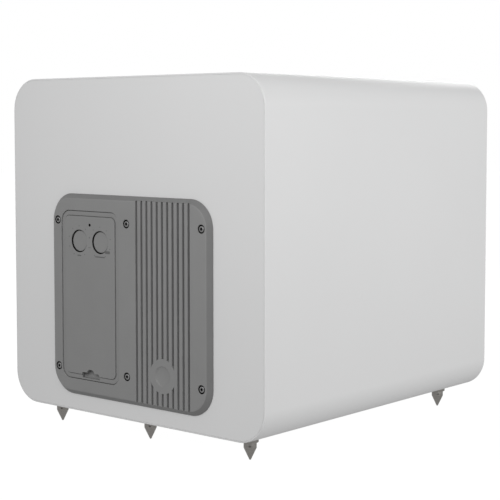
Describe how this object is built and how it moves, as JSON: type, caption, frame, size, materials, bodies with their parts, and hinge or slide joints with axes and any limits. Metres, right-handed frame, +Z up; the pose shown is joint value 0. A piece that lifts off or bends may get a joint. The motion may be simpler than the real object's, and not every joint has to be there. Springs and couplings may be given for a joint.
{
  "type": "subwoofer",
  "caption": "Round-cornered box subwoofer on pointed feet, with a recessed grey amplifier panel, cooling grooves and a lift-off terminal cover in its back.",
  "frame": {"origin": "on the floor under the middle: the centre of the bottom of the whole box", "axes": "+Z up; +Y towards the back, where the amplifier panel is; -Y towards the grille; +X to the right when looking at the grille"},
  "size_m": [0.4, 0.449, 0.4185],
  "materials": {
    "satin_white": "satin off-white lacquer on fibreboard",
    "black_board": "matt black stained fibreboard",
    "fibreboard": "raw fibreboard",
    "wadding": "loose white polyester wadding",
    "spike_steel": "satin warm-grey plated steel",
    "panel_grey": "matt grey powder coat on a casting",
    "cover_grey": "matt grey moulding, fine texture",
    "knob_grey": "matt grey moulding",
    "screw_steel": "satin zinc",
    "zinc_steel": "zinc-plated sheet steel",
    "foam": "black closed-cell foam",
    "black_plastic": "matt black moulding",
    "lead_sleeve": "matt black sleeve",
    "lamp_red": "clear red lens",
    "circuit_green": "green solder mask",
    "winding": "enamelled copper wire",
    "capacitor_sleeve": "dark blue shrink sleeve",
    "basket_black": "satin black paint",
    "ferrite": "sintered dark grey ferrite",
    "cone_paper": "matt black pressed paper",
    "surround_rubber": "matt black rubber",
    "spider_cloth": "resin-stiffened tan cloth",
    "grille_cloth": "dark grey acoustic cloth"
  },
  "bodies": {
    "cabinet": {"cabinet_wrap": "satin_white", "rear_panel": "satin_white", "front_baffle": "black_board", "window_brace": "fibreboard", "damping_wadding": "wadding", "lock_nut_rear_left": "spike_steel", "lock_nut_rear_middle": "spike_steel", "lock_nut_rear_right": "spike_steel", "lock_nut_front_left": "spike_steel", "lock_nut_front_middle": "spike_steel", "lock_nut_front_right": "spike_steel", "amp_panel": "panel_grey", "panel_screw_top_left": "screw_steel", "panel_screw_top_middle": "screw_steel", "panel_screw_top_right": "screw_steel", "panel_screw_bottom_left": "screw_steel", "panel_screw_bottom_middle": "screw_steel", "panel_screw_bottom_right": "screw_steel", "level_potentiometer": "zinc_steel", "crossover_potentiometer": "zinc_steel", "socket_plate": "zinc_steel", "amp_housing": "zinc_steel", "top_plate": "zinc_steel", "yoke": "zinc_steel", "panel_gasket": "foam", "driver_gasket": "foam", "phono_sockets": "black_plastic", "phase_switch": "black_plastic", "power_mode_switch": "black_plastic", "mains_inlet": "black_plastic", "power_switch_frame": "black_plastic", "driver_terminal": "black_plastic", "speaker_lead": "lead_sleeve", "led_lens": "lamp_red", "amp_circuit_board": "circuit_green", "mains_transformer": "winding", "reservoir_capacitor_left": "capacitor_sleeve", "reservoir_capacitor_right": "capacitor_sleeve", "driver_basket": "basket_black", "ring_magnet": "ferrite", "surround": "surround_rubber", "spider": "spider_cloth"},
    "level_knob": {"level_knob": "knob_grey"},
    "crossover_knob": {"crossover_knob": "knob_grey"},
    "terminal_cover": {"terminal_cover": "cover_grey"},
    "grille": {"grille_frame": "black_board", "grille_cloth": "grille_cloth"},
    "driver_cone": {"cone": "cone_paper", "dust_cap": "cone_paper", "voice_coil": "winding"},
    "power_rocker": {"power_rocker": "black_plastic"},
    "phase_slider": {"phase_slider": "black_plastic"},
    "power_mode_slider": {"power_mode_slider": "black_plastic"},
    "fuse_drawer": {"fuse_drawer": "black_plastic"},
    "spike_rear_left": {"spike_rear_left": "spike_steel"},
    "spike_rear_middle": {"spike_rear_middle": "spike_steel"},
    "spike_rear_right": {"spike_rear_right": "spike_steel"},
    "spike_front_left": {"spike_front_left": "spike_steel"},
    "spike_front_middle": {"spike_front_middle": "spike_steel"},
    "spike_front_right": {"spike_front_right": "spike_steel"}
  },
  "joints": [
    {"name": "level_turn", "type": "hinge", "parent": "cabinet", "child": "level_knob", "pos_m": [0.078, 0.2245, 0.22845], "axis": [0, -1, 0], "range_deg": [-150, 150]},
    {"name": "crossover_turn", "type": "hinge", "parent": "cabinet", "child": "crossover_knob", "pos_m": [0.043, 0.2245, 0.22845], "axis": [0, -1, 0], "range_deg": [-150, 150]},
    {"name": "cover_pull", "type": "slide", "parent": "cabinet", "child": "terminal_cover", "axis": [0, 1, 0], "range_m": [0, 0.07]},
    {"name": "grille_pull", "type": "slide", "parent": "cabinet", "child": "grille", "axis": [0, -1, 0], "range_m": [0, 0.07]},
    {"name": "cone_travel", "type": "slide", "parent": "cabinet", "child": "driver_cone", "axis": [0, -1, 0], "range_m": [-0.01, 0.01], "stiffness_N_per_m": 3000, "deforming": ["surround", "spider"]},
    {"name": "rocker_tip", "type": "hinge", "parent": "cabinet", "child": "power_rocker", "pos_m": [0.0335, 0.1815, 0.13225], "axis": [1, 0, 0], "range_deg": [0, 18]},
    {"name": "phase_slide", "type": "slide", "parent": "cabinet", "child": "phase_slider", "axis": [0, 0, -1], "range_m": [0, 0.004]},
    {"name": "power_mode_slide", "type": "slide", "parent": "cabinet", "child": "power_mode_slider", "axis": [0, 0, 1], "range_m": [-0.003, 0.003]},
    {"name": "fuse_drawer_pull", "type": "slide", "parent": "cabinet", "child": "fuse_drawer", "axis": [0, 1, 0], "range_m": [0, 0.012]},
    {"name": "spike_rear_left_height", "type": "slide", "parent": "cabinet", "child": "spike_rear_left", "axis": [0, 0, -1], "range_m": [0, 0.008]},
    {"name": "spike_rear_middle_height", "type": "slide", "parent": "cabinet", "child": "spike_rear_middle", "axis": [0, 0, -1], "range_m": [0, 0.008]},
    {"name": "spike_rear_right_height", "type": "slide", "parent": "cabinet", "child": "spike_rear_right", "axis": [0, 0, -1], "range_m": [0, 0.008]},
    {"name": "spike_front_left_height", "type": "slide", "parent": "cabinet", "child": "spike_front_left", "axis": [0, 0, -1], "range_m": [0, 0.008]},
    {"name": "spike_front_middle_height", "type": "slide", "parent": "cabinet", "child": "spike_front_middle", "axis": [0, 0, -1], "range_m": [0, 0.008]},
    {"name": "spike_front_right_height", "type": "slide", "parent": "cabinet", "child": "spike_front_right", "axis": [0, 0, -1], "range_m": [0, 0.008]}
  ]
}
